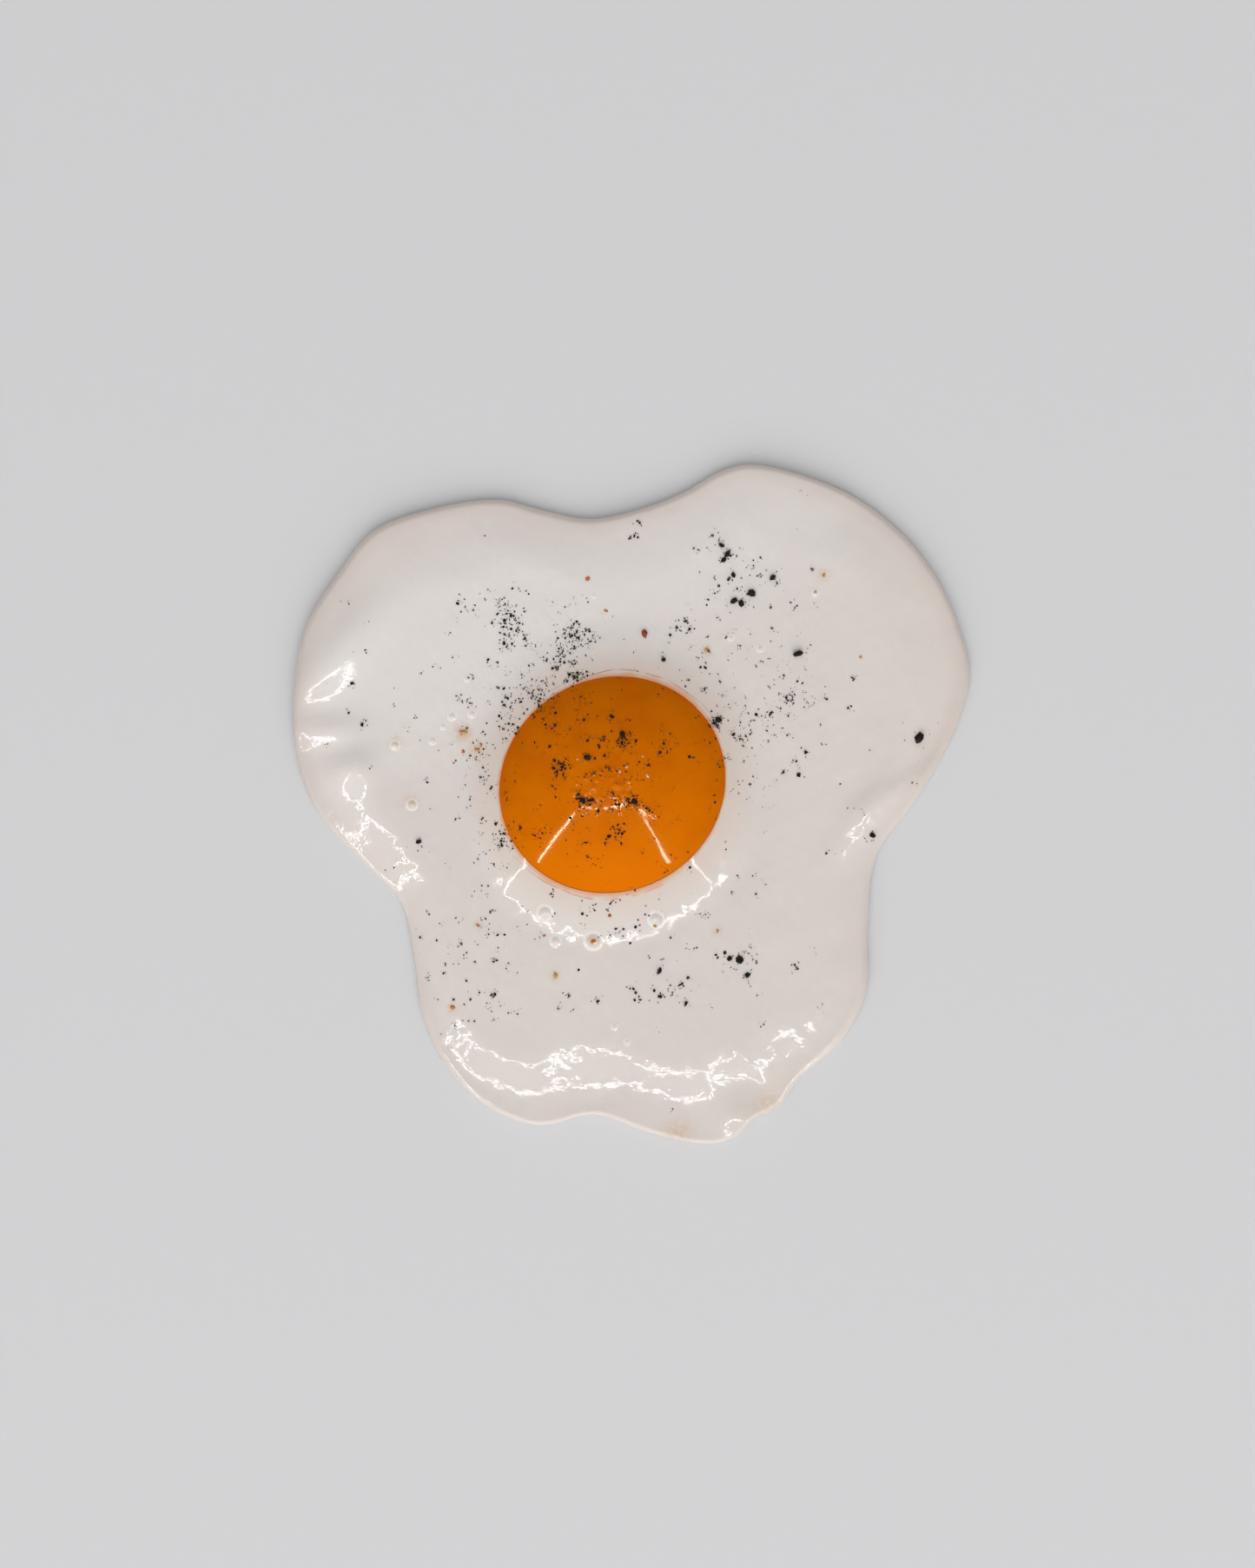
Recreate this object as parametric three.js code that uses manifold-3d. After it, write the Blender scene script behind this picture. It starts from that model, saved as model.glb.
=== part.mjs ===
// A fried egg: set white, spread in lobes round a domed yolk, with coarse pepper on top.
// Millimetres, +Z up. The origin lies on the table, under the middle of the egg's outline.
// Each body is turned as a plain round puck and then pulled out to its real outline and relief.

import * as THREE from "three";
import { mergeVertices } from "three/addons/utils/BufferGeometryUtils.js";
import Module from "manifold-3d";

// ---- Outlines, mm ----

// The edge of the white, anticlockwise from its right-hand tip.
const EDGE = [
  [58.4, 22.7], [56.5, 30.7], [53.4, 37.9], [47.7, 45.8], [38.7, 53.0], [28.6, 57.1], [20.2, 58.7],
  [15.1, 57.4], [9.4, 54.1], [1.9, 51.1], [-7.1, 49.3], [-15.3, 50.8], [-22.8, 52.6], [-34.1, 51.1],
  [-44.6, 47.2], [-50.6, 40.0], [-56.3, 30.7], [-58.4, 19.0], [-57.9, 8.8], [-54.4, -1.0],
  [-46.6, -9.8], [-39.9, -16.8], [-37.5, -26.8], [-36.2, -35.8], [-32.2, -44.9], [-25.2, -52.0],
  [-16.1, -55.4], [-6.3, -53.6], [2.7, -56.6], [13.2, -58.6], [18.4, -57.2], [21.0, -54.4],
  [25.7, -51.9], [28.9, -47.6], [36.7, -40.4], [40.5, -32.3], [40.8, -21.5], [42.4, -8.8],
  [49.6, 1.3], [56.1, 13.3],
];

// The yolk is an ellipse seen from above. Its long axis is turned from +X.
const YOLK = { x: -3.3, y: 3.4, long: 19.7, short: 18.3, turn: THREE.MathUtils.degToRad(28) };

// ---- Heights above the table, widths and gaps, mm ----

const INNER_TOP = 3.6; // thick inner white
const MOUND_RISE = 1.8; // how far the white climbs from there to the yolk
const LIP_WIDTH = 1.5; // rounded edge of the white
const LIP_EQUATOR = 0.8; // height of its widest line
const YOLK_FLOOR = 1.4; // underside of the yolk in the middle
const YOLK_RIM = 5.2;
const YOLK_TOP = 12.8;
const YOLK_LIP = 0.3; // thickness of the yolk at its rim
const GAP = 0.3; // clear all round between yolk and white

// The outer white at even steps along the edge: its height, and how far in from the edge the slope to the
// inner white starts and ends. A slope that starts beyond the edge is already under way there.
const OUTER_RELIEF = [
  [2.5, 1.5, 12], [2.8, 2, 14], [2.4, 1, 11], [2.8, 2.5, 15], [2.5, 1.5, 12], [2.7, 2, 13],
  [2.4, 1, 11], [2.6, 2, 14], [2.9, 3, 13], [3, 4, 12], [2.4, 2.5, 10], [2.4, -2, 11],
  [2, -3, 9], [1.3, -3, 6], [2.4, 0, 7], [2.6, 2, 9.5], [2.75, 4.6, 13], [2.8, 5, 13],
  [2.7, 6.2, 15], [3, 3, 11], [3.3, 1, 9], [3, 0.5, 8], [2.2, -1, 8], [2.4, 1, 8],
];

// How wide the climb to the yolk is, at even steps round the yolk from +X.
const MOUND_WIDTHS = [7, 8.5, 10, 11, 10, 8.5, 6.5, 8.3, 9.8, 10.7, 9.3, 9];

// Swellings of the white: x, y, half width, half length, turn of the length in degrees, height.
const SWELLINGS = [
  [-52.4, 24.2, 3, 8.5, 52, 1.8], [-52.6, 12.6, 2, 4.6, 0, 1], [-48.5, 5.6, 2.8, 3, 0, 1],
  [-47.5, 6.8, 2.4, 3.4, 20, 0.7], [-45, -1.5, 3.5, 5, -60, 0.8], [-6.3, -51, 3, 3, 0, -0.4],
  [19, -54, 2.2, 2.6, 0, 0.6], [41.5, -2, 2.4, 5, 50, 0.9],
];

// ---- Pepper: patches of [x, y, spread, number of grains, grain length], mm ----

const PEPPER_ON_WHITE = [
  [49.7, 11.4, 0, 1, 2.1], [28.7, 26.0, 0, 1, 1.6], [14.9, 14.4, 0, 1, 1.5], [-36.6, -6.4, 0, 1, 1.2],
  [41.5, -5.3, 0, 1, 1.3], [21.0, 36.5, 3, 5, 1.7], [16.0, 41.0, 4, 5, 1.2], [19.5, -26.8, 2, 4, 1.5],
  [8.0, -32.0, 5, 6, 1.1], [2.3, 29.4, 0, 1, 1.5], [-11.0, 29.0, 5, 9, 0.9], [-22.0, 32.0, 3, 7, 0.9],
  [26.0, 18.5, 6, 9, 0.8], [-28.0, 11.0, 3, 5, 1.3], [-26.0, -28.0, 7, 9, 0.9], [21.0, 5.0, 3, 4, 0.8],
  [-5.0, -21.0, 3, 4, 0.8], [-26.0, -3.0, 2, 3, 0.9],
];
const PEPPER_ON_YOLK = [
  [-7.5, 8.0, 0, 1, 1.4], [-8.3, 0.7, 1, 3, 1.5], [-11.5, 6.8, 1, 3, 1.2], [-1.5, 12.0, 2, 3, 1.2],
  [5.0, 8.5, 1, 3, 1.0], [0.5, 0.5, 2, 4, 1.2],
];
const FARTHEST_GRAIN = 1.4; // from a patch's middle, in spreads
const LEAST_GRAIN = 0.7; // as a share of the patch's grain length
const GRAIN_SLIMNESS = [0.7, 0.95]; // width as a share of length
const GRAIN_FLATNESS = 0.75; // thickness as a share of length
const GRAIN_SUNK = 0.12; // depth of a grain's middle below the face it lies on, as a share of its length

// ---- Colours and finish ----

const WHITE_COLOUR = 0xefe8e1;
const YOLK_COLOUR = 0xe8830c;
const GLOSSY = 0.2;

// ---- Fineness of the meshes ----

const WHITE_SECTORS = 144;
const YOLK_SECTORS = 96;
const EDGE_SAMPLES = 720;

// ---- Plan shape ----

const edge = new THREE.CatmullRomCurve3(EDGE.map(([x, y]) => new THREE.Vector3(x, y, 0)), true);
edge.arcLengthDivisions = EDGE_SAMPLES;
const edgeSamples = edge.getSpacedPoints(EDGE_SAMPLES);

// Rows of values at even steps round a loop, as a curve through them.
function allRound(rows) {
  return new THREE.CatmullRomCurve3(rows.map((row) => new THREE.Vector3(...row)), true, "catmullrom");
}

const outerRelief = allRound(OUTER_RELIEF);
const moundWidths = allRound(MOUND_WIDTHS.map((width) => [width]));

// Distance from the yolk's centre to its rim.
function yolkReach(angle) {
  const a = angle - YOLK.turn;
  return 1 / Math.hypot(Math.cos(a) / YOLK.long, Math.sin(a) / YOLK.short);
}

function fromYolkCentre(x, y) {
  return { reach: Math.hypot(x - YOLK.x, y - YOLK.y), angle: Math.atan2(y - YOLK.y, x - YOLK.x) };
}

// Distance from (x, y) to the edge, and how far round the edge its nearest point is, 0 to 1.
function fromEdge(x, y) {
  const distances = edgeSamples.map((p) => Math.hypot(x - p.x, y - p.y));
  const distance = Math.min(...distances);
  return { distance, turn: distances.indexOf(distance) / EDGE_SAMPLES };
}

// ---- Heights ----

// How far the white has climbed towards the yolk. It steepens as it nears the rim.
function mound(x, y) {
  const { reach, angle } = fromYolkCentre(x, y);
  const turn = THREE.MathUtils.euclideanModulo(angle / (2 * Math.PI), 1);
  const away = (reach - yolkReach(angle)) / moundWidths.getPoint(turn).x;
  const share = THREE.MathUtils.clamp(away, 0, 1);
  return MOUND_RISE * (1 - (4 * share - share ** 4) / 3);
}

function swelling(x, y, [atX, atY, halfWidth, halfLength, degrees, height]) {
  const turn = THREE.MathUtils.degToRad(degrees);
  const along = (x - atX) * Math.cos(turn) + (y - atY) * Math.sin(turn);
  const across = (y - atY) * Math.cos(turn) - (x - atX) * Math.sin(turn);
  return height * Math.exp(-((along / halfLength) ** 2 + (across / halfWidth) ** 2) / 2);
}

function whiteTop(x, y) {
  const { distance, turn } = fromEdge(x, y);
  const { x: outerTop, y: start, z: end } = outerRelief.getPoint(turn);
  const plain = THREE.MathUtils.lerp(outerTop, INNER_TOP, THREE.MathUtils.smoothstep(distance, start, end));
  const swollen = SWELLINGS.reduce((sum, one) => sum + swelling(x, y, one), 0);
  return plain + mound(x, y) + swollen;
}

// The yolk's underside is a full bowl, and its top is a cap of a sphere.
// Share is 0 in the middle of the yolk and 1 at its rim.
function yolkUnderside(share) {
  return THREE.MathUtils.lerp(YOLK_FLOOR, YOLK_RIM - YOLK_LIP, share ** 3);
}

function yolkTop(share) {
  const rise = YOLK_TOP - YOLK_RIM;
  const radius = (YOLK.short ** 2 + rise ** 2) / (2 * rise);
  return YOLK_TOP - radius + Math.sqrt(radius ** 2 - (share * YOLK.short) ** 2);
}

function yolkTopAt(x, y) {
  const { reach, angle } = fromYolkCentre(x, y);
  return yolkTop(reach / yolkReach(angle));
}

// ---- Turning and pulling ----

// Evenly spaced stations from a to b, without a.
function steps(a, b, count) {
  return Array.from({ length: count }, (_, i) => a + ((b - a) * (i + 1)) / count);
}

// Turns a profile of [station, side] points into a closed round puck. Each vertex then goes to
// place(station, turn, side), where turn runs from 0 to 1 round the puck.
function pulled(profile, sectors, place) {
  const points = profile.map(([station, side]) => new THREE.Vector2(station, side));
  const puck = new THREE.LatheGeometry(points, sectors).rotateX(Math.PI / 2);
  const position = puck.getAttribute("position");
  for (let i = 0; i < position.count; i++) {
    const angle = Math.atan2(position.getY(i), position.getX(i));
    const turn = THREE.MathUtils.euclideanModulo(angle / (2 * Math.PI), 1);
    const station = Math.hypot(position.getX(i), position.getY(i));
    position.setXYZ(i, ...place(station, turn, Math.round(position.getZ(i))));
  }
  return puck;
}

const UNDER = 0;
const OVER = 1;
const SEAT_END = 0.995;

// Stations of the white: 0 to SEAT_END is the yolk's seat, 1 to 2 the top face, 2 to 3 the rounded lip.
// On the underside, station 3 lies half a lip's width in from the edge.
function placeWhite(station, turn, side) {
  const tip = edge.getPointAt(turn);
  const { reach: far, angle } = fromYolkCentre(tip.x, tip.y);
  const rim = yolkReach(angle);
  const at = (reach) => [YOLK.x + reach * Math.cos(angle), YOLK.y + reach * Math.sin(angle)];
  if (side === UNDER) return [...at(((far - LIP_WIDTH / 2) * station) / 3), 0];
  if (station < (SEAT_END + 1) / 2) return [...at(rim * station), yolkUnderside(station) - GAP];
  const face = rim + (far - LIP_WIDTH - rim) * Math.min(1, station - 1);
  const outward = THREE.MathUtils.clamp(station - 2, 0, 1);
  const [x, y] = at(face + LIP_WIDTH * outward);
  return [x, y, THREE.MathUtils.lerp(LIP_EQUATOR, whiteTop(x, y), Math.sqrt(1 - outward ** 2))];
}

function whiteBody() {
  const seat = [0, ...steps(0, SEAT_END, 4)];
  const face = [1, ...steps(1, 1.5, 5), ...steps(1.5, 2, 9)];
  const lip = [2.38, 2.71, 2.92, 3];
  const over = [...seat, ...face, ...lip].map((station) => [station, OVER]);
  return pulled([[0, UNDER], [3, UNDER], ...over.reverse()], WHITE_SECTORS, placeWhite);
}

function placeYolk(station, turn, side) {
  const angle = 2 * Math.PI * turn;
  const reach = (yolkReach(angle) - GAP) * station;
  const height = side === OVER ? yolkTop(station) : yolkUnderside(station);
  return [YOLK.x + reach * Math.cos(angle), YOLK.y + reach * Math.sin(angle), height];
}

function yolkBody() {
  const under = [0, ...steps(0, 1, 4)].map((station) => [station, UNDER]);
  const over = [0, ...steps(0, 1, 9)].map((station) => [station, OVER]);
  return pulled([...under, ...over.reverse()], YOLK_SECTORS, placeYolk);
}

// ---- Pepper ----

// A repeatable stream of numbers from 0 to 1.
function drawsFrom(seed) {
  let state = seed;
  return () => {
    state = (state * 16807) % 2147483647;
    return state / 2147483647;
  };
}

const draw = drawsFrom(2024);

// An angular grain sunk into the face below it.
function grain(x, y, length, heightAt) {
  return new THREE.IcosahedronGeometry(length / 2, 0)
    .rotateX(Math.PI * draw())
    .scale(1, THREE.MathUtils.lerp(...GRAIN_SLIMNESS, draw()), GRAIN_FLATNESS)
    .rotateZ(Math.PI * draw())
    .translate(x, y, heightAt(x, y) + length * (GRAIN_FLATNESS / 4 - GRAIN_SUNK));
}

// The grains of one patch, closest together in its middle.
function patch([x, y, spread, count, length], heightAt) {
  return Array.from({ length: count }, () => {
    const away = FARTHEST_GRAIN * spread * Math.sqrt(draw() * draw());
    const angle = 2 * Math.PI * draw();
    const size = length * THREE.MathUtils.lerp(LEAST_GRAIN, 1, draw());
    return grain(x + away * Math.cos(angle), y + away * Math.sin(angle), size, heightAt);
  });
}

// ---- Solids ----

const wasm = await Module();
wasm.setup();

function solidOf(geometry) {
  geometry.deleteAttribute("normal");
  geometry.deleteAttribute("uv");
  const merged = mergeVertices(geometry, 1e-4);
  return new wasm.Manifold(
    new wasm.Mesh({
      numProp: 3,
      vertProperties: merged.getAttribute("position").array,
      triVerts: new Uint32Array(merged.index.array),
    }),
  );
}

function geometryOf(solid) {
  const mesh = solid.getMesh();
  return new THREE.BufferGeometry()
    .setAttribute("position", new THREE.BufferAttribute(mesh.vertProperties, 3))
    .setIndex(new THREE.BufferAttribute(mesh.triVerts, 1));
}

// A body with patches of pepper fused on.
function peppered(body, patches, heightAt) {
  const grains = patches.flatMap((p) => patch(p, heightAt)).map(solidOf);
  return geometryOf(grains.reduce((whole, piece) => whole.add(piece), solidOf(body)));
}

function part(name, color, geometry) {
  geometry.computeVertexNormals();
  const finish = new THREE.MeshStandardMaterial({ color, roughness: GLOSSY, metalness: 0 });
  const mesh = new THREE.Mesh(geometry, finish);
  mesh.name = name;
  return mesh;
}

const egg = new THREE.Group();
egg.add(
  part("egg_white", WHITE_COLOUR, peppered(whiteBody(), PEPPER_ON_WHITE, whiteTop)),
  part("yolk", YOLK_COLOUR, peppered(yolkBody(), PEPPER_ON_YOLK, yolkTopAt)),
);

export default egg;
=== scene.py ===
"""A fried egg: set white spread in lobes round a domed yolk, with coarse pepper and a few chilli flakes.

Shapes are worked out in millimetres, +Z up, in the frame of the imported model, and scaled by MM at the end.
"""

import math

import bmesh
import bpy
import numpy as np
from mathutils import Matrix, Vector
from mathutils.kdtree import KDTree


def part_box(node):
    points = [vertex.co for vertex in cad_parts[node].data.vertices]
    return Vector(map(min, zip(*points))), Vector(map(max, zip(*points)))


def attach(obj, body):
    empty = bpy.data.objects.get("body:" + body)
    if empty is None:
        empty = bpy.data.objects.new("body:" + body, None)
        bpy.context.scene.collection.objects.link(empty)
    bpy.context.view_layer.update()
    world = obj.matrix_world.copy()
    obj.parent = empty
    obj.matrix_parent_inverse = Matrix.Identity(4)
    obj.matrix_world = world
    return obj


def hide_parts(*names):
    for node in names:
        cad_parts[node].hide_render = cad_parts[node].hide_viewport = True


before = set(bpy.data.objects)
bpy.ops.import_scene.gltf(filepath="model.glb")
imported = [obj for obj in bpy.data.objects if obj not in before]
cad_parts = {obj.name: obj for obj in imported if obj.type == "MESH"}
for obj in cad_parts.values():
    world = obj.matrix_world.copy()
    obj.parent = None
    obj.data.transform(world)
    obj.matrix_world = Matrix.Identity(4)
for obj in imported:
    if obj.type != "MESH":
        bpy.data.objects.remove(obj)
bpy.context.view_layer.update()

MM = 0.001


# ---- Plan shape, mm ----

LIP_EQUATOR = 0.8  # height of the white's widest line
EDGE_SPAN = 20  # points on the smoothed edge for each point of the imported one
SECTORS = 720


def smooth_loop(points, per_span):
    """A closed Catmull-Rom curve through the points."""
    before, after, beyond = (np.roll(points, shift, axis=0) for shift in (1, -1, -2))
    t = (np.arange(per_span) / per_span)[:, None, None]
    curve = 0.5 * (
        2 * points
        + (after - before) * t
        + (2 * before - 5 * points + 4 * after - beyond) * t**2
        + (3 * points - before - 3 * after + beyond) * t**3
    )
    return curve.transpose(1, 0, 2).reshape(-1, points.shape[1])


def node_points(node):
    """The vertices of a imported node, mm."""
    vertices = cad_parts[node].data.vertices
    flat = np.empty(len(vertices) * 3, np.float32)
    vertices.foreach_get("co", flat)
    return flat.reshape(-1, 3) / MM


def box_centre(node):
    low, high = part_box(node)
    return (low + high) / 2 / MM


YOLK_X, YOLK_Y, _ = box_centre("yolk")
YOLK_LONG = 19.7
YOLK_SHORT = 18.3
YOLK_TURN = math.radians(28)  # of its long axis, from +X


def white_edge():
    """The edge of the white, anticlockwise from its right-hand tip."""
    points = node_points("egg_white")
    ring = np.unique(np.round(points[abs(points[:, 2] - LIP_EQUATOR) < 0.01, :2], 2), axis=0)
    ring = ring[np.argsort(np.arctan2(ring[:, 1] - YOLK_Y, ring[:, 0] - YOLK_X))]
    ring = np.roll(ring, -ring[:, 0].argmax(), axis=0)
    return smooth_loop(ring, EDGE_SPAN)


EDGE = white_edge()
EDGE_TREE = KDTree(len(EDGE))
for number, (edge_x, edge_y) in enumerate(EDGE):
    EDGE_TREE.insert((edge_x, edge_y, 0), number)
EDGE_TREE.balance()


def from_edge(x, y):
    """Distance to the white's edge, and the number of the nearest point on it."""
    found = [EDGE_TREE.find((px, py, 0))[1:] for px, py in zip(x, y)]
    numbers, distances = np.array(found).T
    return distances, numbers.astype(int)


def from_yolk(x, y):
    """Reach and angle from the middle of the yolk."""
    return np.hypot(x - YOLK_X, y - YOLK_Y), np.arctan2(y - YOLK_Y, x - YOLK_X)


def yolk_reach(angle):
    """Distance from the yolk's middle to its rim."""
    return 1 / np.hypot(np.cos(angle - YOLK_TURN) / YOLK_LONG, np.sin(angle - YOLK_TURN) / YOLK_SHORT)


# ---- Heights, mm ----

INNER_TOP = 3.6  # thick inner white
MOUND_RISE = 1.8  # the white climbs by this to the yolk
LIP_START = 1.5  # the lip's own rings of faces reach this far in
YOLK_FLOOR = 1.4
YOLK_RIM = 5.2
YOLK_TOP = 12.8
YOLK_LIP = 0.3
SEAT_GAP = 0.3

# At even steps along the edge, from its right-hand tip: height of the thin outer white, width of its rounded
# lip, and where the slope to the inner white starts and ends.
OUTER_TOPS = [
    2.5, 2.8, 2.4, 2.8, 2.5, 2.7, 2.4, 2.6, 2.9, 3.0, 2.4, 2.4, 2.0, 1.3, 2.4, 2.6, 2.75, 2.8, 2.7, 3.0,
    3.3, 3.0, 2.2, 2.4,
]
LIP_WIDTHS = [
    1.3, 1.0, 1.3, 0.9, 1.2, 1.0, 1.3, 1.0, 1.2, 1.1, 1.2, 1.0, 0.9, 1.0, 1.3, 0.9, 0.7, 0.7, 0.7, 1.0,
    1.6, 1.8, 1.5, 1.5,
]
SLOPE_START = [
    1.5, 2.0, 1.0, 2.5, 1.5, 2.0, 1.0, 2.0, 3.0, 4.0, 2.5, -2.0, -3.0, -3.0, 0.0, 2.0, 4.6, 5.0, 6.2, 3.0,
    1.0, 0.5, -1.0, 1.0,
]
SLOPE_END = [
    12.0, 14.0, 11.0, 15.0, 12.0, 13.0, 11.0, 14.0, 13.0, 12.0, 10.0, 11.0, 9.0, 6.0, 7.0, 9.5, 13.0, 13.0,
    15.0, 11.0, 9.0, 8.0, 8.0, 8.0,
]
# How wide the climb to the yolk is, at even steps round the yolk from +X.
MOUND_WIDTHS = [7.0, 8.5, 10.0, 11.0, 10.0, 8.5, 6.5, 8.3, 9.8, 10.7, 9.3, 9.0]
# How far the yolk's colour bleeds into the white, at the same steps.
HALO_WIDTHS = [0.4, 0.6, 1.0, 0.8, 0.6, 0.4, 0.5, 0.8, 1.0, 1.4, 1.2, 0.6]
# How strong the red hairline outside the yolk's rim is, at the same steps.
HAIRLINES = [0.0, 0.2, 0.9, 1.0, 0.5, 0.0, 0.0, 0.2, 0.8, 0.9, 0.4, 0.0]
# Swellings of the white: x, y, half width, half length, turn of the length in degrees, height.
SWELLINGS = [
    (-52.4, 24.2, 3.0, 8.5, 52, 1.8), (-52.6, 12.6, 2.0, 4.6, 0, 1.0), (-48.5, 5.6, 2.8, 3.0, 0, 1.0),
    (-47.5, 6.8, 2.4, 3.4, 20, 0.7), (-45.0, -1.5, 3.5, 5.0, -60, 0.8),
    (-6.3, -51.0, 3.0, 3.0, 0, -0.4), (19.0, -54.0, 2.2, 2.6, 0, 0.6), (41.5, -2.0, 2.4, 5.0, 50, 0.9),
    (48.0, 3.5, 1.6, 6.0, 30, 0.5), (-19.5, -12.0, 1.6, 1.6, 0, 0.2), (12.0, -12.0, 1.6, 1.6, 0, 0.2),
]
# Round blisters: x, y, radius.
BLISTERS = [
    (-6.6, -23.6, 1.6), (-14.9, -18.8, 1.4), (4.2, -19.9, 1.4), (-13.1, -23.6, 1.0), (-30.9, 15.1, 0.8),
    (-27.5, 15.5, 0.7), (-32.4, 13.3, 0.6), (-34.2, 10.9, 0.7), (-28.4, 21.5, 0.5), (-40.7, 10.1, 0.9),
    (-37.8, -0.1, 1.0), (17.1, 28.7, 0.6), (22.2, 26.8, 0.7), (-6.5, 35.9, 0.5), (31.6, 36.4, 0.6),
    (-3.0, -38.3, 0.6), (-0.8, -40.9, 0.6),
]
BLISTER_HEIGHT = 0.3  # as a share of the radius

# Gentle waves all over the white: length, height, seed.
UNEVENNESS = [(9.0, 0.02, 5), (3.2, 0.012, 8), (1.8, 0.007, 4)]
WAVE_COUNT = 12
WAVE_LENGTHS = (0.7, 1.4)  # as a share of the length above
# How much of the waves is taken away at the yolk and on the left, and how wide the change is.
CALM_NEAR_YOLK = 0.92
CALM_ON_LEFT = 0.8
CALM_LEFT_OF = -38.0
CALM_WIDTH = 9.0


def all_round(knots, count):
    """Many values, from knots at even steps round a loop."""
    return smooth_loop(np.array(knots, float)[:, None], count // len(knots))[:, 0]


OUTER_TOP_AT = all_round(OUTER_TOPS, len(EDGE))
LIP_WIDTH_AT = all_round(LIP_WIDTHS, len(EDGE))
SLOPE_START_AT = all_round(SLOPE_START, len(EDGE))
SLOPE_END_AT = all_round(SLOPE_END, len(EDGE))
DEGREES = np.arange(360)
MOUND_WIDTH_AT = all_round(MOUND_WIDTHS, len(DEGREES))
HALO_WIDTH_AT = all_round(HALO_WIDTHS, len(DEGREES))
HAIRLINE_AT = all_round(HAIRLINES, len(DEGREES))


def by_degree(angle, values):
    """The value at an angle, from one value for each degree."""
    return np.interp(np.degrees(angle), DEGREES, values, period=360)


def smooth(share):
    """0 below 0, 1 above 1, and smooth between."""
    share = np.clip(share, 0, 1)
    return share * share * (3 - 2 * share)


def waves(x, y, length, height, seed):
    """Gentle unevenness: a sum of plane waves of about one length."""
    draw = np.random.default_rng(seed)
    total = np.zeros_like(x)
    for _ in range(WAVE_COUNT):
        heading, phase = draw.uniform(0, 2 * np.pi, 2)
        number = 2 * np.pi / (length * draw.uniform(*WAVE_LENGTHS))
        total += np.cos(number * (x * np.cos(heading) + y * np.sin(heading)) + phase)
    return total * height / math.sqrt(WAVE_COUNT / 2)


def mound(x, y):
    """How far the white has climbed towards the yolk."""
    reach, angle = from_yolk(x, y)
    width = by_degree(angle, MOUND_WIDTH_AT)
    share = np.clip((reach - yolk_reach(angle)) / width, 0, 1)
    return MOUND_RISE * (1 - (4 * share - share**4) / 3)


def swelling(x, y, at_x, at_y, half_width, half_length, degrees, height):
    turn = math.radians(degrees)
    along = (x - at_x) * math.cos(turn) + (y - at_y) * math.sin(turn)
    across = (y - at_y) * math.cos(turn) - (x - at_x) * math.sin(turn)
    return height * np.exp(-0.5 * ((along / half_length) ** 2 + (across / half_width) ** 2))


def blister(x, y, at_x, at_y, radius):
    share = np.clip(np.hypot(x - at_x, y - at_y) / radius, 0, 1)
    return radius * BLISTER_HEIGHT * (1 - share**2) ** 1.5


def evenness(x, y):
    """How freely the white waves: less on its climb to the yolk and on its left."""
    reach, angle = from_yolk(x, y)
    near_yolk = 1 - smooth((reach - yolk_reach(angle)) / CALM_WIDTH)
    on_left = smooth((CALM_LEFT_OF - x) / CALM_WIDTH)
    return (1 - CALM_NEAR_YOLK * near_yolk) * (1 - CALM_ON_LEFT * on_left)


def white_top(x, y):
    """Height of the white's top face."""
    distance, number = from_edge(x, y)
    start, end = SLOPE_START_AT[number], SLOPE_END_AT[number]
    outer = OUTER_TOP_AT[number]
    height = outer + (INNER_TOP - outer) * smooth((distance - start) / (end - start))
    height += mound(x, y)
    for one in SWELLINGS:
        height += swelling(x, y, *one)
    for one in BLISTERS:
        height += blister(x, y, *one)
    height += evenness(x, y) * sum(waves(x, y, *one) for one in UNEVENNESS)
    outward = np.clip(1 - distance / LIP_WIDTH_AT[number], 0, 1)
    return LIP_EQUATOR + (height - LIP_EQUATOR) * np.sqrt(1 - outward**2)


def yolk_underside(share):
    """Share is 0 in the middle of the yolk and 1 at its rim."""
    return YOLK_FLOOR + (YOLK_RIM - YOLK_LIP - YOLK_FLOOR) * share**3


def yolk_dome(share):
    """A cap of a sphere."""
    rise = YOLK_TOP - YOLK_RIM
    radius = (YOLK_SHORT**2 + rise**2) / (2 * rise)
    return YOLK_TOP - radius + np.sqrt(radius**2 - (share * YOLK_SHORT) ** 2)


# Small bumps on the middle of the yolk: how many, how far they spread from (x, y), their radius and height.
YOLK_BUMPS = 70
YOLK_BUMPS_AT = (-4.5, 3.5)
YOLK_BUMPS_SPREAD = (4.2, 3.0)
YOLK_BUMP_RADIUS = (0.25, 0.7)
YOLK_BUMP_HEIGHT = 0.24  # as a share of the radius
YOLK_UNEVENNESS = (7, 0.02, 3)  # length, height and seed of its waves


def yolk_top(x, y):
    """Height of the yolk's top face."""
    reach, angle = from_yolk(x, y)
    height = yolk_dome(np.clip(reach / yolk_reach(angle), 0, 1))
    draw = np.random.default_rng(11)
    for _ in range(YOLK_BUMPS):
        at = np.array(YOLK_BUMPS_AT) + draw.normal(size=2) * YOLK_BUMPS_SPREAD
        radius = draw.uniform(*YOLK_BUMP_RADIUS)
        away = (x - at[0]) ** 2 + (y - at[1]) ** 2
        height += YOLK_BUMP_HEIGHT * radius * np.exp(-away / (2 * (radius / 2) ** 2))
    return height + waves(x, y, *YOLK_UNEVENNESS)


def top(x, y):
    """Height of the egg, yolk or white."""
    reach, angle = from_yolk(x, y)
    return np.where(reach < yolk_reach(angle), yolk_top(x, y), white_top(x, y))


# ---- Meshes ----


def move_to(body, x, y, z):
    for vertex, place in zip(body.verts, zip(x, y, z)):
        vertex.co = place


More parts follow.
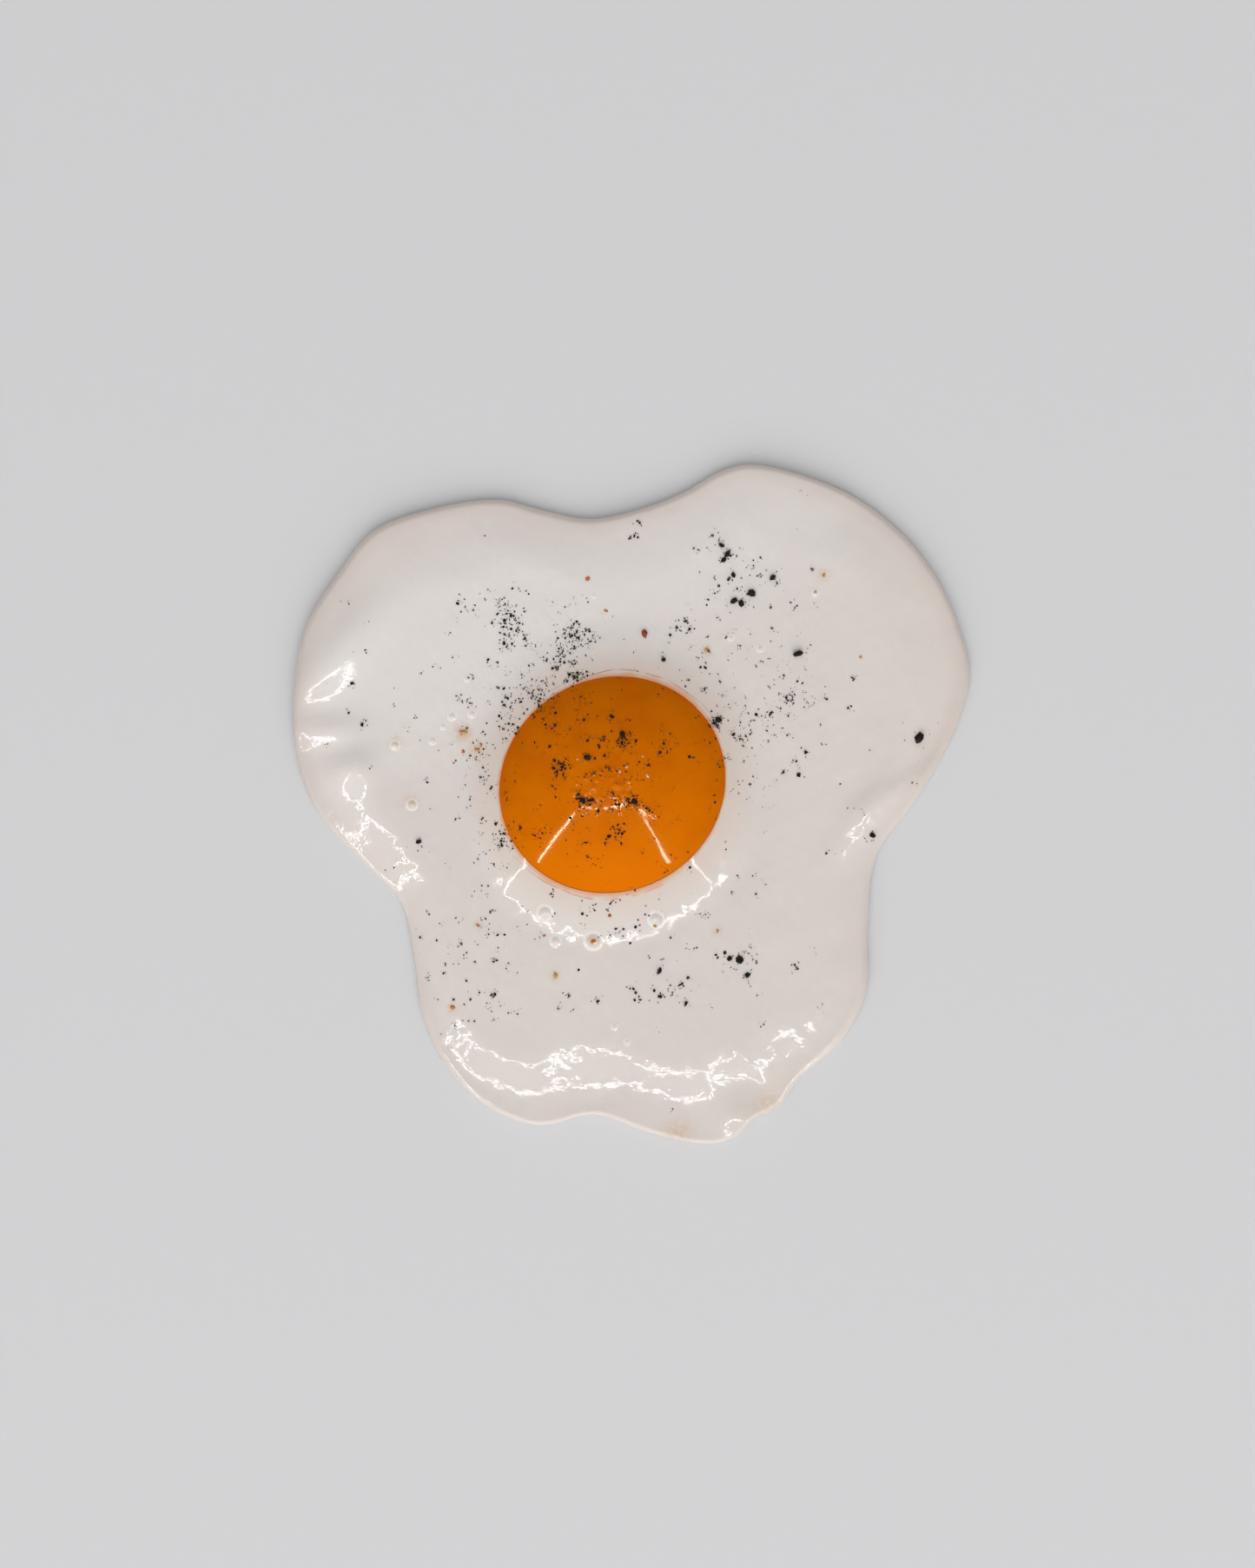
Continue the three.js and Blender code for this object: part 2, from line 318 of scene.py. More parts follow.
def ball(sectors, rings):
    """A grid rolled up into a ball, whose rings and sectors are then pulled out to a body's shape.
    Gives it with each vertex's ring, counted from the bottom pole, and turn, 0 to 1."""
    body = bmesh.new()
    bmesh.ops.create_grid(body, x_segments=sectors, y_segments=rings, size=1)
    across, up, _ = np.pi * np.array([v.co for v in body.verts]).T
    move_to(body, np.cos(up / 2) * np.cos(across), np.cos(up / 2) * np.sin(across), np.sin(up / 2))
    bmesh.ops.remove_doubles(body, verts=body.verts, dist=1e-5)
    bmesh.ops.recalc_face_normals(body, faces=body.faces)
    points = np.array([v.co for v in body.verts])
    ring = np.rint(np.arccos(np.clip(-points[:, 2], -1, 1)) / np.pi * rings).astype(int)
    turn = np.arctan2(points[:, 1], points[:, 0]) / (2 * np.pi) % 1
    return body, ring, turn


def finished(body, name, node, material):
    """Makes the piece of a body in millimetres, riding on the frame."""
    bmesh.ops.scale(body, vec=(MM,) * 3, verts=body.verts)
    mesh = bpy.data.meshes.new(name)
    body.to_mesh(mesh)
    body.free()
    return placed(mesh, name, node, material)


def placed(mesh, name, node, material, smooth_faces=True):
    """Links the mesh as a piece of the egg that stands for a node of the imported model."""
    if smooth_faces:
        mesh.shade_smooth()
    mesh.materials.append(material)
    piece = bpy.data.objects.new(name, mesh)
    bpy.context.scene.collection.objects.link(piece)
    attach(piece, "root")
    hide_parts(node)
    return piece


def set_attribute(mesh, name, values):
    mesh.attributes.new(name, "FLOAT", "POINT").data.foreach_set("value", np.asarray(values, np.float32))


def mesh_points(mesh):
    flat = np.empty(len(mesh.vertices) * 3, np.float32)
    mesh.vertices.foreach_get("co", flat)
    return flat.reshape(-1, 3) / MM


# ---- The white ----

UNDER_RINGS = 3
LOWER_LIP_RINGS = 4
FACE_RINGS = 100
SEAT_RINGS = 7
LOWER_LIP = 0.6
LIP_INSETS = (0.04, 0.1, 0.18, 0.3, 0.45, 0.65, 0.9, 1.2)
SEAT_END = 0.995
CROWDING = 1.3  # above 1 the rings of the top face crowd towards the yolk
ON_TOP = 99  # height that marks the top face until its relief is known
REFINED_TO = 1.25  # the mesh is finer within so many radii of a blister's middle
BLISTER_ATTRIBUTE_END = 2  # radii


def white_stations():
    """For each ring, from the middle of the underside to the middle of the seat: how its reach is made up of
    the edge's reach, the yolk rim's reach and a length, and its height."""
    under = [(share, 0, -LOWER_LIP * share, 0) for share in np.linspace(0, 1, UNDER_RINGS + 1)]
    bend = np.linspace(-np.pi / 2, 0, LOWER_LIP_RINGS + 1)[1:]
    lower = [(1, 0, -LOWER_LIP * (1 - math.cos(a)), LIP_EQUATOR * (1 + math.sin(a))) for a in bend]
    lip = [(1, 0, -inset, ON_TOP) for inset in LIP_INSETS]
    shares = np.linspace(1, 0, FACE_RINGS) ** CROWDING
    face = [(share, 1 - share, -LIP_START * share, ON_TOP) for share in shares]
    seat = [(0, s, 0, yolk_underside(s) - SEAT_GAP) for s in np.linspace(SEAT_END, 0, SEAT_RINGS)]
    return np.array(under + lower + lip + face + seat)


def blister_reach(x, y):
    """Distance to the nearest blister's middle, in its radii."""
    return np.min([np.hypot(x - at_x, y - at_y) / radius for at_x, at_y, radius in BLISTERS], axis=0)


def white_piece(material):
    stations = white_stations()
    body, ring, turn = ball(SECTORS, len(stations) - 1)
    tip_x, tip_y = EDGE[np.rint(turn * SECTORS).astype(int) % SECTORS * (len(EDGE) // SECTORS)].T
    far, angle = from_yolk(tip_x, tip_y)
    of_edge, of_rim, length, height = stations[ring].T
    reach = of_edge * far + of_rim * yolk_reach(angle) + length * (ring > 0)
    x, y = YOLK_X + reach * np.cos(angle), YOLK_Y + reach * np.sin(angle)
    move_to(body, x, y, height)
    refined = (blister_reach(x, y) < REFINED_TO) & (height == ON_TOP)
    close = {v for v, near in zip(body.verts, refined) if near}
    edges = {e for v in close for e in v.link_edges if e.other_vert(v) in close}
    bmesh.ops.subdivide_edges(body, edges=list(edges), cuts=1, use_grid_fill=True)
    surface = [v for v in body.verts if v.co.z > ON_TOP - 1]
    x, y, _ = np.array([v.co for v in surface]).T
    for vertex, z in zip(surface, white_top(x, y)):
        vertex.co.z = z
    piece = finished(body, "white", "egg_white", material)
    x, y, _ = mesh_points(piece.data).T
    reach, angle = from_yolk(x, y)
    rim = reach - yolk_reach(angle)
    halo_width = by_degree(angle, HALO_WIDTH_AT)
    set_attribute(piece.data, "from_rim", rim)
    set_attribute(piece.data, "halo", rim / halo_width)
    hairline = by_degree(angle, HAIRLINE_AT)
    set_attribute(piece.data, "hairline", np.clip(hairline, 0, 1))
    set_attribute(piece.data, "from_edge", from_edge(x, y)[0])
    set_attribute(piece.data, "blister", np.minimum(blister_reach(x, y), BLISTER_ATTRIBUTE_END))
    set_attribute(piece.data, "stain", sum(swelling(x, y, sx, sy, r, r, 0, h) for sx, sy, r, h in STAINS))
    return piece


# Tan stains in the white: x, y, radius, strength.
STAINS = [
    (-29.0, 12.4, 1.1, 0.55), (-26.6, 9.4, 1.0, 0.45), (-37.8, 0.5, 0.9, 0.4), (-40.7, 10.8, 0.8, 0.35),
    (8.0, -56.8, 1.6, 0.4), (23.5, -52.0, 1.6, 0.3), (-6.6, -23.6, 0.7, 0.6), (-13.1, -29.5, 0.6, 0.5),
    (14.8, -21.8, 0.6, 0.4), (33.0, 39.4, 0.8, 0.4), (12.9, 26.6, 0.6, 0.4), (-26.4, -20.9, 0.5, 0.5),
    (-30.8, -35.0, 0.6, 0.5),
]


# ---- The yolk ----

YOLK_SECTORS = 300
YOLK_RINGS = 90
BOWL_RINGS = 10
RIM_SUNK = 0.25  # how far the yolk's rim reaches into the white, past the line where they meet
LIP_OF_YOLK_FROM = 0.985  # the yolk turns down from here to its rim, as a share of its reach


def yolk_piece(material):
    """A cap on a bowl, which closes the gap to the white."""
    body, ring, turn = ball(YOLK_SECTORS, YOLK_RINGS + BOWL_RINGS)
    angle = 2 * np.pi * turn
    share = np.where(ring < BOWL_RINGS, ring / BOWL_RINGS, (YOLK_RINGS + BOWL_RINGS - ring) / YOLK_RINGS)
    reach = (yolk_reach(angle) + RIM_SUNK) * share
    x, y = YOLK_X + reach * np.cos(angle), YOLK_Y + reach * np.sin(angle)
    cap = yolk_top(x, y) - YOLK_LIP * smooth((share - LIP_OF_YOLK_FROM) / (1 - LIP_OF_YOLK_FROM))
    move_to(body, x, y, np.where(ring < BOWL_RINGS, yolk_underside(share), cap))
    return finished(body, "yolk_dome", "yolk", material)


# ---- Pepper ----

# Coarse grains, in patches: x, y, spread, number of grains, length of the longest.
COARSE_PATCHES = [
    (49.7, 11.4, 0, 1, 2.2), (28.7, 26.0, 0, 1, 2.0), (14.9, 14.4, 0, 1, 1.3), (-36.6, -6.4, 0, 1, 1.2),
    (41.5, -5.3, 0, 1, 1.3), (21, 36.5, 3, 4, 1.9), (16, 41, 3, 4, 1.7), (19.5, -26.8, 2, 3, 1.6),
    (8, -32, 4, 3, 1.5), (10, 27, 5, 4, 0.9), (-20, 28, 6, 4, 0.8), (-45, 20, 6, 2, 0.9), (33, 7, 5, 2, 1.0),
    (-10, -37, 8, 2, 1.0),
    (-7.5, 8.0, 0, 1, 1.4), (-8.3, 0.7, 0, 1, 1.5), (0.5, 0.5, 0, 1, 1.2), (-1.5, 12, 0, 1, 1.3),
    (5, 8.5, 2, 3, 0.9), (-4, 3, 3, 5, 0.7), (-5, -8, 3, 3, 0.7), (-2, 13.5, 2, 1, 1.0),
]
FARTHEST_COARSE = 1.4  # from a patch's middle, in spreads
LEAST_COARSE = 0.6  # as a share of the patch's grain length
CRUMBS = 7  # small grains round each coarse one
CRUMB_LENGTHS = (0.12, 0.32)
CRUMB_SPREAD = 0.75  # of the coarse grain's length
# Clusters: x, y, half width, half height, number of grains, middling length.
CLUSTERS = [
    (0.4, 47.5, 0.8, 1.2, 9, 0.36), (17.7, 41.5, 4.0, 2.8, 32, 0.36), (21.0, 35.5, 3.0, 2.4, 18, 0.38),
    (-21.2, 32.0, 1.5, 2.5, 100, 0.3), (-23.5, 31.0, 4.0, 4.0, 40, 0.28), (-9.5, 29.3, 2.4, 1.6, 85, 0.26),
    (-13.0, 27.0, 4.4, 3.4, 80, 0.25), (-12.2, 24.7, 1.6, 1.3, 50, 0.32), (-9.8, 21.7, 1.3, 0.5, 40, 0.32),
    (-15.8, 18.5, 1.6, 1.8, 60, 0.3), (-18.0, 19.0, 4.5, 4.5, 50, 0.28), (-24.0, 10.0, 3.2, 5.0, 75, 0.3),
    (-22.8, -6.0, 2.4, 2.0, 60, 0.32), (-24.5, 2.0, 3.0, 3.5, 30, 0.28), (-28.0, -24.0, 6.5, 5.5, 95, 0.3),
    (-27.0, -36.0, 5.0, 4.0, 42, 0.3), (-5.0, -20.0, 8.0, 4.0, 50, 0.3), (5.5, -32.0, 4.0, 1.0, 20, 0.45),
    (18.0, -26.0, 3.2, 1.0, 14, 0.4), (26.5, 18.3, 2.4, 1.6, 55, 0.26), (21.0, 15.5, 6.5, 5.5, 130, 0.2),
    (14.6, 14.1, 0.55, 0.65, 45, 0.32), (13.0, 28.0, 6.0, 4.5, 65, 0.28), (19.5, 6.0, 3.6, 9.0, 85, 0.28),
    (35.0, 15.0, 10.0, 14.0, 30, 0.3),
    (-44.0, 20.0, 8.0, 12.0, 28, 0.3), (-3.0, 0.0, 30.0, 30.0, 110, 0.28), (28.6, -27.7, 0.5, 0.5, 6, 0.36),
    (-33.0, 20.0, 6.0, 6.0, 24, 0.28), (10.0, -22.0, 7.0, 6.0, 36, 0.3), (-8.2, 0.9, 0.7, 0.7, 40, 0.34),
    (-1.2, 11.3, 0.5, 0.6, 40, 0.34), (-12.0, 6.4, 0.9, 0.6, 40, 0.32), (0.2, 0.5, 1.0, 0.4, 26, 0.32),
    (-2.0, -4.7, 0.8, 0.6, 22, 0.3), (-15.6, -5.2, 0.8, 0.5, 14, 0.3), (-3.0, 4.0, 5.5, 4.5, 120, 0.28),
    (-4.0, -5.0, 7.0, 4.0, 45, 0.28), (-12.0, 14.5, 5.0, 3.0, 150, 0.2),
    (-4.0, 5.0, 11.0, 9.0, 170, 0.2),
]
GRAIN_NUMBERS = 1.7  # times the numbers above
GRAIN_SIZE = 0.68
CLUMP = 3  # grains that lie together
CLUMP_SPREAD = 0.4
LENGTH_SPREAD = 0.55  # of the logarithm of a grain's length
LONGEST_IN_CLUSTER = 0.62
GRAIN_SHAPES = 6
GRAIN_WIDTHS = (0.5, 1)  # as a share of the grain's length
GRAIN_FLATNESS = 0.7  # thickness as a share of the length
GRAIN_FLATNESS_SPREAD = (0.8, 1.2)  # times that
GRAIN_MIDDLE = 0.14  # height of a grain's middle above the face it lies on, as a share of the length
COARSE_ROUGHNESS = 0.3
FINE_ROUGHNESS = 0.35
COARSE_FROM = 0.8  # length of the shortest grain that is coarse
PALE_GRAINS_RARE = 5  # the higher, the fewer of the small grains are husk-coloured
PEPPER_FROM_EDGE = 1.2  # no grain lies nearer to the white's edge


def grain_shapes(roughness, seed):
    """Several angular lumps of length 1, each as points and triangles."""
    draw = np.random.default_rng(seed)
    shapes = []
    for _ in range(GRAIN_SHAPES):
        lump = bmesh.new()
        bmesh.ops.create_icosphere(lump, subdivisions=1, radius=0.5)
        for vertex in lump.verts:
            vertex.co *= 1 + draw.uniform(-roughness, roughness)
        points = np.array([v.co for v in lump.verts])
        faces = np.array([[v.index for v in f.verts] for f in lump.faces])
        lump.free()
        shapes.append((points, faces))
    return shapes


def scattered(shapes, places, lengths, seed):
    """Points and triangles of one lump at each place, turned and stretched at random and sunk a little."""
    draw = np.random.default_rng(seed)
    all_points, all_faces, count = [], [], 0
    heights = top(*places.T)
    for (x, y), z, length in zip(places, heights, lengths):
        points, faces = shapes[draw.integers(len(shapes))]
        tilt = Matrix.Rotation(draw.uniform(0, 2 * np.pi), 3, "X")
        turn = Matrix.Rotation(draw.uniform(0, 2 * np.pi), 3, "Z")
        width = draw.uniform(*GRAIN_WIDTHS)
        stretch = Matrix.Diagonal((1, width, GRAIN_FLATNESS * draw.uniform(*GRAIN_FLATNESS_SPREAD)))
        pose = np.array(turn @ stretch @ tilt) * length
        all_points.append(points @ pose.T + (x, y, z + length * GRAIN_MIDDLE))
        all_faces.append(faces + count)
        count += len(points)
    return np.concatenate(all_points), np.concatenate(all_faces)


def inside_white(x, y):
    """True where (x, y) is well inside the white's edge."""
    reach, angle = from_yolk(x, y)
    edge_reach, edge_angle = from_yolk(*EDGE.T)
    order = np.argsort(edge_angle)
    limit = np.interp(angle, edge_angle[order], edge_reach[order], period=2 * np.pi)
    return (reach < limit) & (from_edge(x, y)[0] > PEPPER_FROM_EDGE)


def coarse_patch(draw, x, y, spread, number, longest):
    """Place and length of each grain in one patch."""
    angles = draw.uniform(0, 2 * np.pi, number)
    reach = spread * FARTHEST_COARSE * np.sqrt(draw.uniform(size=number))
    shares = draw.uniform(LEAST_COARSE, 1, number) if number > 1 else np.ones(1)
    return np.stack([x + reach * np.cos(angles), y + reach * np.sin(angles), longest * shares], axis=1)


def pepper_places():
    """Where the grains lie, and how long they are."""
    draw = np.random.default_rng(2024)
    coarse = np.concatenate([coarse_patch(draw, *patch) for patch in COARSE_PATCHES])
    offsets = draw.normal(size=(len(coarse), CRUMBS, 2)) * CRUMB_SPREAD
    crumbs = coarse[:, None, :2] + offsets * coarse[:, None, 2:]
    places = [coarse[:, :2], crumbs.reshape(-1, 2)]
    lengths = [coarse[:, 2], draw.uniform(*CRUMB_LENGTHS, size=len(coarse) * CRUMBS)]
    for x, y, half_width, half_height, number, length in CLUSTERS:
        count = round(number * GRAIN_NUMBERS)
        clumps = np.array([x, y]) + draw.normal(size=(count // CLUMP + 1, 2)) * (half_width, half_height)
        members = draw.integers(len(clumps), size=count)
        places.append(clumps[members] + draw.normal(size=(count, 2)) * CLUMP_SPREAD)
        grown = GRAIN_SIZE * length * np.exp(draw.normal(size=count) * LENGTH_SPREAD)
        lengths.append(np.minimum(grown, LONGEST_IN_CLUSTER))
    places, lengths = np.concatenate(places), np.concatenate(lengths)
    kept = inside_white(*places.T)
    return places[kept], lengths[kept]


def pepper_piece(material):
    places, lengths = pepper_places()
    coarse = lengths > COARSE_FROM
    big_shapes = grain_shapes(COARSE_ROUGHNESS, seed=21)
    small_shapes = grain_shapes(FINE_ROUGHNESS, seed=22)
    big_points, big_faces = scattered(big_shapes, places[coarse], lengths[coarse], seed=31)
    small_points, small_faces = scattered(small_shapes, places[~coarse], lengths[~coarse], seed=32)
    mesh = bpy.data.meshes.new("pepper")
    points = np.concatenate([big_points, small_points]) * MM
    faces = np.concatenate([big_faces, small_faces + len(big_points)])
    mesh.from_pydata(points, [], faces)
    small_count = len(small_points) // len(lengths[~coarse])
    draw = np.random.default_rng(5)
    tones = np.repeat(draw.uniform(size=len(lengths[~coarse])) ** PALE_GRAINS_RARE, small_count)
    set_attribute(mesh, "tone", np.concatenate([np.zeros(len(big_points)), tones]))
    return placed(mesh, "pepper", "egg_white", material, smooth_faces=False)


# ---- Chilli and husk flakes ----

# x, y, length, and 0 for rust red to 1 for pale tan.
FLAKES = [
    (2.2, 29.4, 1.8, 0.08), (-7.6, 38.8, 1.0, 0.35), (-4.4, 33.3, 1.0, 0.6), (-29.0, 12.4, 1.4, 0.7),
    (-26.6, 9.4, 1.1, 0.62), (-25.9, 10.2, 0.7, 0.5), (-29.0, 9.1, 0.8, 0.4), (-13.1, -29.5, 1.2, 0.75),
    (-30.8, -35.0, 1.0, 0.55), (-26.4, -20.9, 0.8, 0.5), (-15.0, -22.6, 0.7, 0.5), (33.1, 39.4, 0.9, 0.85),
    (31.6, 36.5, 0.6, 0.9), (12.9, 26.6, 0.9, 0.85), (-3.8, -19.1, 0.8, 0.15), (-6.6, -23.6, 1.0, 0.3),
    (4.0, -20.9, 0.8, 0.6), (39.4, 25.3, 0.7, 0.9), (18.4, 1.9, 0.45, 0.35), (14.8, -21.8, 0.7, 0.6),
    (-2.0, 5.6, 0.8, 1.0), (-0.8, 6.4, 0.6, 1.0), (2.7, 4.9, 0.9, 1.0), (1.9, 8.2, 0.5, 1.0),
    (-9.2, 7.7, 0.5, 1.0),
]
FLAKE_SIDES = 8
FLAKE_UNEVENNESS = (0.65, 1.1)
FLAKE_WIDTHS = (0.55, 0.8)  # these three as a share of the flake's length
FLAKE_THICKNESS = 0.22
FLAKE_SUNK = 0.08


def flake_piece(material):
    """Thin, uneven chips that lie on the egg."""
    draw = np.random.default_rng(77)
    chips = bmesh.new()
    shade = []
    for x, y, length, tone in FLAKES:
        made = bmesh.ops.create_circle(chips, cap_ends=True, segments=FLAKE_SIDES, radius=length / 2)["verts"]
        for vertex in made:
            vertex.co *= draw.uniform(*FLAKE_UNEVENNESS)
        squash = Matrix.Diagonal((1, draw.uniform(*FLAKE_WIDTHS), 1))
        turn = Matrix.Rotation(draw.uniform(0, 2 * np.pi), 3, "Z")
        bmesh.ops.transform(chips, matrix=(turn @ squash).to_4x4(), verts=made)
        thick = bmesh.ops.extrude_face_region(chips, geom=list({f for v in made for f in v.link_faces}))
        raised = [item for item in thick["geom"] if isinstance(item, bmesh.types.BMVert)]
        bmesh.ops.translate(chips, vec=(0, 0, FLAKE_THICKNESS * length), verts=raised)
        height = float(top(np.array([x]), np.array([y]))[0])
        bmesh.ops.translate(chips, vec=(x, y, height - FLAKE_SUNK * length), verts=made + raised)
        shade += [tone] * (len(made) + len(raised))
    bmesh.ops.recalc_face_normals(chips, faces=chips.faces)
    piece = finished(chips, "flakes", "egg_white", material)
    set_attribute(piece.data, "tone", shade)
    return piece


# ---- Shader expressions ----


class Shade:
    """A value in a material. Arithmetic on it adds Math nodes, and add() adds any other node."""

    def __init__(self, tree, socket=None):
        self.tree = tree
        self.socket = socket

    def add(self, kind, settings, values, out=0):
        """Adds a node: its settings are set first, then the values or links of its sockets."""
        node = self.tree.nodes.new(kind)
        for name, setting in settings.items():
            setattr(node, name, setting)
        for name, value in values.items():
            if isinstance(value, Shade):
                self.tree.links.new(value.socket, node.inputs[name])
            else:
                node.inputs[name].default_value = value
        return Shade(self.tree, node.outputs[out]) if node.outputs else node

    def math(self, operation, *values):
        return self.add("ShaderNodeMath", {"operation": operation}, dict(enumerate(values)))

    def __add__(self, other):
        return self.math("ADD", self, other)

    def __sub__(self, other):
        return self.math("SUBTRACT", self, other)

    def __rsub__(self, other):
        return self.math("SUBTRACT", other, self)

    def __mul__(self, other):
        return self.math("MULTIPLY", self, other)

    __radd__ = __add__
    __rmul__ = __mul__

    def ramp(self, low, high):
        """0 below low, 1 above high, and smooth between. High may be the lower of the two."""
        return self.add("ShaderNodeMapRange", {"interpolation_type": "SMOOTHSTEP"},
                        {"Value": self, "From Min": low, "From Max": high})

    def blend(self, first, second):
        """A colour between two, where self is how much of the second."""
        return self.add("ShaderNodeMix", {"data_type": "RGBA"}, {0: self, 6: first, 7: second}, out=2)


def attribute(tree, name):
    settings = {"attribute_type": "GEOMETRY", "attribute_name": name}
    return Shade(tree).add("ShaderNodeAttribute", settings, {}, out=2)


def noise(tree, size, detail=2):
    """Noise whose blotches are about size mm across."""
    place = Shade(tree).add("ShaderNodeTexCoord", {}, {}, out=3)
    values = {"Vector": place, "Scale": 1 / (size * MM), "Detail": detail}
    return Shade(tree).add("ShaderNodeTexNoise", {}, values)


def coordinates(tree):
    """Where a point lies, as three values in metres."""
    place = Shade(tree).add("ShaderNodeTexCoord", {}, {}, out=3)
    return [Shade(tree).add("ShaderNodeSeparateXYZ", {}, {"Vector": place}, out=axis) for axis in range(3)]


def srgb(red, green, blue):
    """A screen colour, 0 to 255, as the linear colour of a socket."""
    linear = [((c / 255 + 0.055) / 1.055) ** 2.4 if c > 10 else c / 255 / 12.92 for c in (red, green, blue)]
    return (*linear, 1)


def material(name, surface):
    """A material whose surface(tree) gives the Principled sockets' values and links."""
    made = bpy.data.materials.new(name)
    made.use_nodes = True
    tree = made.node_tree
    tree.nodes.clear()
    shader = Shade(tree).add("ShaderNodeBsdfPrincipled", {}, surface(tree))
    Shade(tree).add("ShaderNodeOutputMaterial", {}, {"Surface": shader})
    return made


def bumped(tree, height, depth, normal=None):
    """The normal of a surface with a relief of some depth in mm."""
    values = {"Strength": 1, "Distance": depth * MM, "Height": height}
    if normal:
        values["Normal"] = normal
    return Shade(tree).add("ShaderNodeBump", {}, values)


WHITE = srgb(232, 224, 217)
WHITE_WARM = srgb(231, 222, 216)
# Painted light: the lighter colour of a band where more light falls.
WHITE_PAINTED_LIGHT = srgb(240, 234, 230)
# The thin edge's own tone, with painted shade that makes it darker towards the back.
EDGE_TINT = srgb(226, 214, 206)
EDGE_DARK = srgb(215, 203, 195)
# Partly painted shade: darker and warmer white where it climbs to the yolk.
MOUND_TINT_AND_SHADE = srgb(227, 211, 199)
HALO = srgb(236, 160, 110)
HAIRLINE = srgb(190, 90, 70)
TAN = srgb(214, 164, 96)
# Painted highlight: the pale ring round each blister.
PAINTED_BLISTER_HIGHLIGHT = srgb(250, 244, 238)
PEPPER = srgb(30, 27, 25)
PEPPER_HUSK = srgb(120, 92, 66)
YOLK = srgb(221, 115, 0)
YOLK_DEEP = srgb(214, 107, 0)
# Painted light: the lighter yolk colour at the front, which faces the light.
YOLK_PAINTED_LIGHT = srgb(229, 118, 0)
CHILLI_RED = srgb(160, 66, 24)
CHILLI_ORANGE = srgb(214, 122, 48)
HUSK_TAN = srgb(216, 168, 96)
HUSK_PINK = srgb(240, 190, 170)
FLAKE_SPECKLE = srgb(110, 60, 30)


# The white: a painted lighter band across its upper left, standing in for brighter light there, and tints
# towards its edge and the yolk that are partly painted shade.
# Widths of tints are in mm and strengths go up to 1.
PAINTED_LIGHT_LEAN = 0.5  # the band starts and ends along y less this share of x
PAINTED_LIGHT_START = (12 * MM, 42 * MM)
PAINTED_LIGHT_END = (70 * MM, 48 * MM)
PAINTED_LIGHT_STRENGTH = 0.75
FRONT_EDGE_SHADE = 0.3  # how strongly the front edge gets the edge tint and painted shade, against the back, which faces away from the light
EDGE_SHADE_RISES = (-12 * MM, 10 * MM)
EDGE_TINT_WIDTH = 9
EDGE_DARK_WIDTH = 4
EDGE_DARK_STRENGTH = 0.6
MOUND_TINT_AND_SHADE_WIDTH = 7
HALO_END = 1.1  # in halo widths
HALO_RAGGED = 1.4
HALO_STRENGTH = 0.8
HAIRLINE_RISES = (0.85, 0.95)  # from the yolk's rim
HAIRLINE_FALLS = (1.15, 1.05)
HAIRLINE_STRENGTH = 0.6
PAINTED_BLISTER_HIGHLIGHT_RISES = (0.65, 0.85)  # in a blister's radii
PAINTED_BLISTER_HIGHLIGHT_FALLS = (1.2, 1.0)
PAINTED_BLISTER_HIGHLIGHT_STRENGTH = 0.8
FREEDOM_AT_YOLK = 0.15  # how much of the fine relief is left there
FREEDOM_WIDTH = 11
COARSE_RELIEF = (1.2, 0.03)  # size and depth of the fine relief, in two grades
FINE_RELIEF = (0.45, 0.01)
GLOSSY = 0.08
LIP_DULLNESS = 0.3  # added to the roughness at the very edge
LIP_DULL_FROM = (0.5, 0.1)
EGG_IOR = 1.45
# Sizes of the blotches that make each tint uneven, mm.
WARM_BLOTCHES = 14
EDGE_BLOTCHES = 7
MOUND_BLOTCHES = 5
HALO_BLOTCHES = 3
HAIRLINE_WANDERS = 8
HAIRLINE_GAPS = 3
STAIN_BLOTCHES = 0.8
SCATTERING = 1.5 * MM
WHITE_SCATTERED = 0.25
WHITE_SCATTER_REACH = (1.0, 0.7, 0.5)


